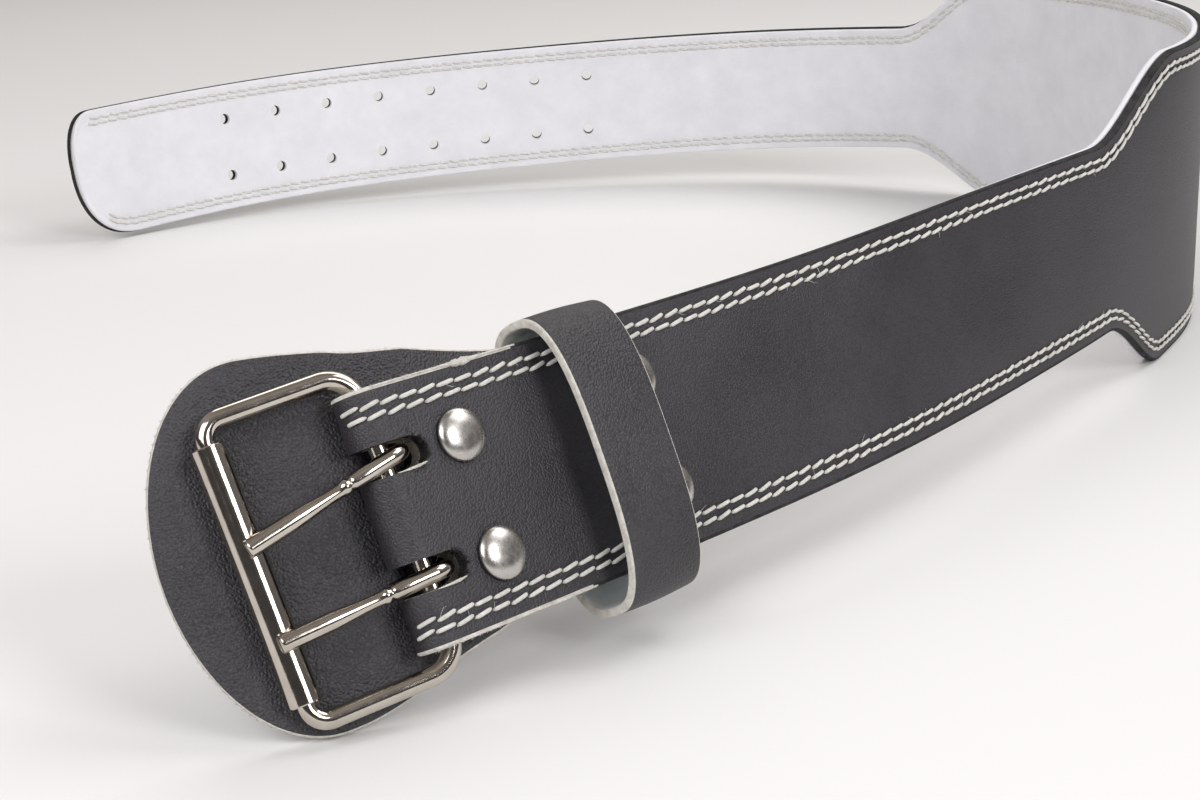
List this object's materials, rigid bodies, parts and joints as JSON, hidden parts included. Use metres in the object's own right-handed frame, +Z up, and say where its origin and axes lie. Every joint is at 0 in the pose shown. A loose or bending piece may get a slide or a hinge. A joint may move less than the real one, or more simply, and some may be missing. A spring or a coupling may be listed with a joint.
{
  "type": "weightlifting belt",
  "caption": "Leather lifting belt, wide at the back, with a roller buckle, prongs, a guard flap and a keeper, standing open on its edge.",
  "frame": {"origin": "on the surface under the middle of the belt", "axes": "+Z up, +X along the buckle arm toward the wide back, -Y is the outer side of the buckle arm"},
  "size_m": [0.5568, 0.5088, 0.1017],
  "materials": {
    "leather": "black pebble-grained leather, satin",
    "suede": "pale suede lining",
    "metal": "polished dark nickel"
  },
  "bodies": {
    "belt": {"belt_strap": "leather", "suede_lining": "suede", "guard_flap": "leather", "keeper": "leather", "rivet_front_upper": "metal", "rivet_front_lower": "metal", "rivet_rear_upper": "metal", "rivet_rear_lower": "metal"},
    "frame": {"buckle_frame": "metal"},
    "roller": {"buckle_roller": "metal"},
    "prong_upper": {"prong_upper": "metal"},
    "prong_lower": {"prong_lower": "metal"}
  },
  "joints": [
    {"name": "frame_swing", "type": "hinge", "parent": "belt", "child": "frame", "pos_m": [-0.2313, -0.22798, 0.04151], "axis": [-0.0337, 0.4419, 0.8964], "range_deg": [0, 45]},
    {"name": "roller_spin", "type": "hinge", "parent": "frame", "child": "roller", "pos_m": [-0.26266, -0.21767, 0.03525], "axis": [-0.0337, 0.4419, 0.8964], "continuous": true},
    {"name": "prong_upper_lift", "type": "hinge", "parent": "frame", "child": "prong_upper", "pos_m": [-0.2313, -0.22798, 0.04151], "axis": [-0.0337, 0.4419, 0.8964], "range_deg": [0, 75]},
    {"name": "prong_lower_lift", "type": "hinge", "parent": "frame", "child": "prong_lower", "pos_m": [-0.2313, -0.22798, 0.04151], "axis": [-0.0337, 0.4419, 0.8964], "range_deg": [0, 75]}
  ]
}
